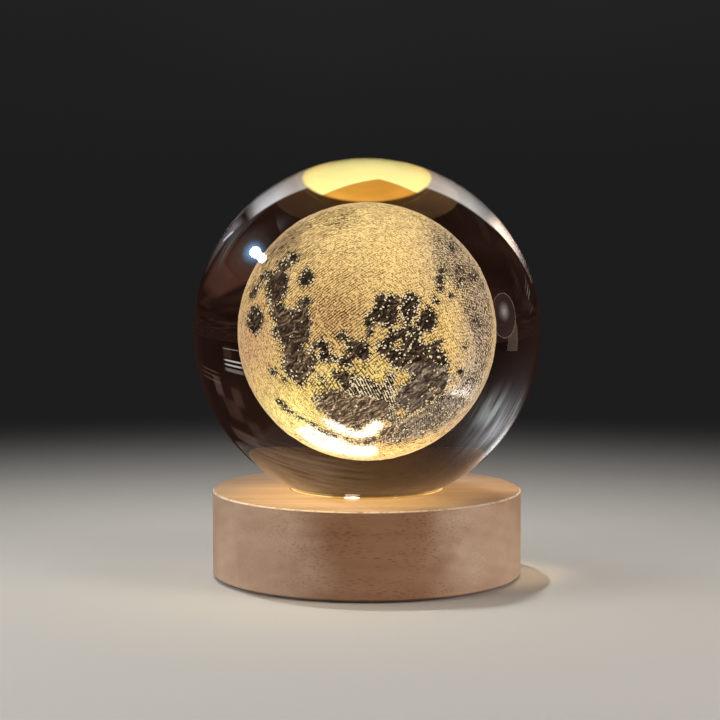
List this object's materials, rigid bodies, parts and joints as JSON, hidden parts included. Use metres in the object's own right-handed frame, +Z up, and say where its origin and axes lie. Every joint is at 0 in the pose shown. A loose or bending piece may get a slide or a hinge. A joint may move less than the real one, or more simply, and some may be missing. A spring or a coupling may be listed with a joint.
{
  "type": "moon lamp",
  "caption": "Solid crystal ball with a moon engraved inside it, lit from below by a round beech base with a rear power inlet and push button.",
  "frame": {"origin": "centre of the underside, on the surface that the lamp stands on", "axes": "+Z up along the axis of the base and ball, -Y the front, +Y the back with the power inlet, +X the right seen from the front"},
  "size_m": [0.08, 0.08, 0.0966],
  "materials": {
    "crystal": "polished, clear",
    "engraved_moon": "engraved dots, frosted, lit warm",
    "clear_silicone": "translucent, soft",
    "beech": "turned, fine sanded, thin satin lacquer",
    "clear_plastic": "clear, smooth",
    "white_plastic": "moulded, matte",
    "circuit_board": "white solder mask",
    "led_plastic": "moulded, matte",
    "phosphor": "yellow gel, lit warm white",
    "chip_ceramic": "black face, tinned ends",
    "black_plastic": "moulded, matte",
    "capacitor_ceramic": "fired, tinned ends",
    "plated_steel": "nickel plated, satin",
    "gold_contact": "gold plated",
    "cream_plastic": "moulded, fine matte",
    "button_plastic": "moulded, satin",
    "screw_steel": "zinc plated",
    "cover_plastic": "moulded, fine texture",
    "foam": "closed-cell foam, matte"
  },
  "bodies": {
    "base": {"wood_base": "beech", "led_window": "clear_plastic", "reflector_cup": "white_plastic", "led_board": "circuit_board", "led_packages": "led_plastic", "led_phosphors": "phosphor", "chip_resistors": "chip_ceramic", "driver_chip": "black_plastic", "chip_capacitors": "capacitor_ceramic", "usb_socket_shell": "plated_steel", "usb_socket_tongue": "black_plastic", "usb_socket_contacts": "gold_contact", "port_bezel": "cream_plastic", "switch_body": "black_plastic", "switch_terminals": "plated_steel", "button_bezel": "cream_plastic", "board_screws": "screw_steel", "cover_screws": "screw_steel", "bottom_cover": "cover_plastic", "foam_pad": "foam"},
    "seat": {"seat_ring": "clear_silicone"},
    "ball": {"crystal_ball": "crystal", "engraved_moon": "engraved_moon"},
    "button": {"button_cap": "button_plastic", "switch_plunger": "white_plastic"}
  },
  "joints": [
    {"name": "ball_turn", "type": "hinge", "parent": "base", "child": "seat", "pos_m": [0, 0, 0.0186], "axis": [0, 0, 1], "continuous": true},
    {"name": "ball_lift", "type": "slide", "parent": "seat", "child": "ball", "axis": [0, 0, 1], "range_m": [0, 0.06]},
    {"name": "button_press", "type": "slide", "parent": "base", "child": "button", "axis": [-0.6428, -0.766, 0], "range_m": [0, 0.0015], "stiffness_N_per_m": 1000, "springref_m": -0.0005}
  ]
}
